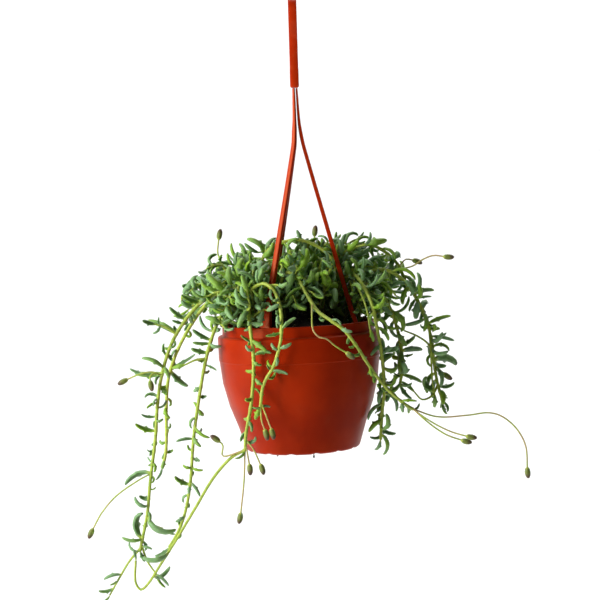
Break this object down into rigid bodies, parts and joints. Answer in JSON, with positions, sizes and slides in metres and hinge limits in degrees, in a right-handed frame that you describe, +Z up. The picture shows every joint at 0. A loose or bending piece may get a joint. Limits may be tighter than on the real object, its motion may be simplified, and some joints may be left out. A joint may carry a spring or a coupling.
{
  "type": "potted trailing succulent",
  "caption": "Trailing succulent with curved finned leaves in a tapering plastic pot that hangs from a hook strap on three strands.",
  "frame": {"origin": "top of the hook's inside, where it rests on a pole", "axes": "+Z up; +X to the right and +Y away from the viewer in the front view; the hook opens along X"},
  "size_m": [0.4111, 0.2122, 0.5633],
  "materials": {
    "pot_plastic": "terracotta-coloured moulded polypropylene, satin",
    "hanger_plastic": "orange-red moulded polypropylene, satin",
    "soil_mix": "dark peat and bark potting mix",
    "foliage": "fleshy succulent leaves and stems with a light waxy bloom"
  },
  "bodies": {
    "root": {"pot": "pot_plastic", "soil": "soil_mix", "hanger_hook": "hanger_plastic", "hanger_strand_front": "hanger_plastic", "hanger_strand_back": "hanger_plastic", "hanger_strand_right": "hanger_plastic", "stem_front": "foliage", "stem_front_left": "foliage", "stem_front_right": "foliage", "stem_left_back": "foliage", "stem_left_front": "foliage", "stem_left_long": "foliage", "stem_mound_01": "foliage", "stem_mound_02": "foliage", "stem_mound_03": "foliage", "stem_mound_04": "foliage", "stem_mound_05": "foliage", "stem_mound_06": "foliage", "stem_mound_07": "foliage", "stem_mound_08": "foliage", "stem_mound_09": "foliage", "stem_mound_10": "foliage", "stem_mound_11": "foliage", "stem_mound_12": "foliage", "stem_mound_13": "foliage", "stem_mound_14": "foliage", "stem_mound_15": "foliage", "stem_mound_16": "foliage", "stem_mound_17": "foliage", "stem_mound_18": "foliage", "stem_mound_19": "foliage", "stem_mound_20": "foliage", "stem_mound_21": "foliage", "stem_mound_22": "foliage", "stem_mound_23": "foliage", "stem_mound_24": "foliage", "stem_mound_25": "foliage", "stem_mound_26": "foliage", "stem_mound_27": "foliage", "stem_mound_28": "foliage", "stem_mound_29": "foliage", "stem_mound_30": "foliage", "stem_mound_31": "foliage", "stem_right_arch": "foliage", "stem_right_front": "foliage", "stem_right_inner": "foliage", "stem_right_outer": "foliage", "stem_top_arch": "foliage", "stem_top_back": "foliage", "stem_top_left": "foliage"}
  },
  "joints": []
}
